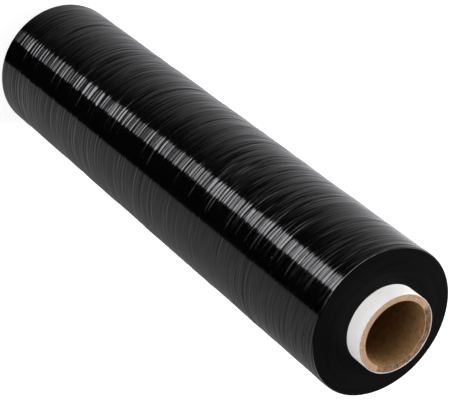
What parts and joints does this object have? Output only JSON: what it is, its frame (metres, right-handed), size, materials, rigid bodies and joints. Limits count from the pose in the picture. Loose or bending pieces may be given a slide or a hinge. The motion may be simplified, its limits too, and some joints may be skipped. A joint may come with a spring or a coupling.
{
  "type": "stretch wrap roll",
  "caption": "Roll of black stretch wrap film wound on a cardboard core that stands out at both ends.",
  "frame": {"origin": "centre of the core's lower end, where the roll stands", "axes": "+Z along the winding axis, up towards the core's upper end"},
  "size_m": [0.1212, 0.1212, 0.534],
  "materials": {
    "kraft_board": "matt",
    "white_paper": "matt",
    "black_film": "gloss"
  },
  "bodies": {
    "root": {"core_tube": "kraft_board", "core_outer_ply": "white_paper", "film_roll": "black_film"}
  },
  "joints": []
}
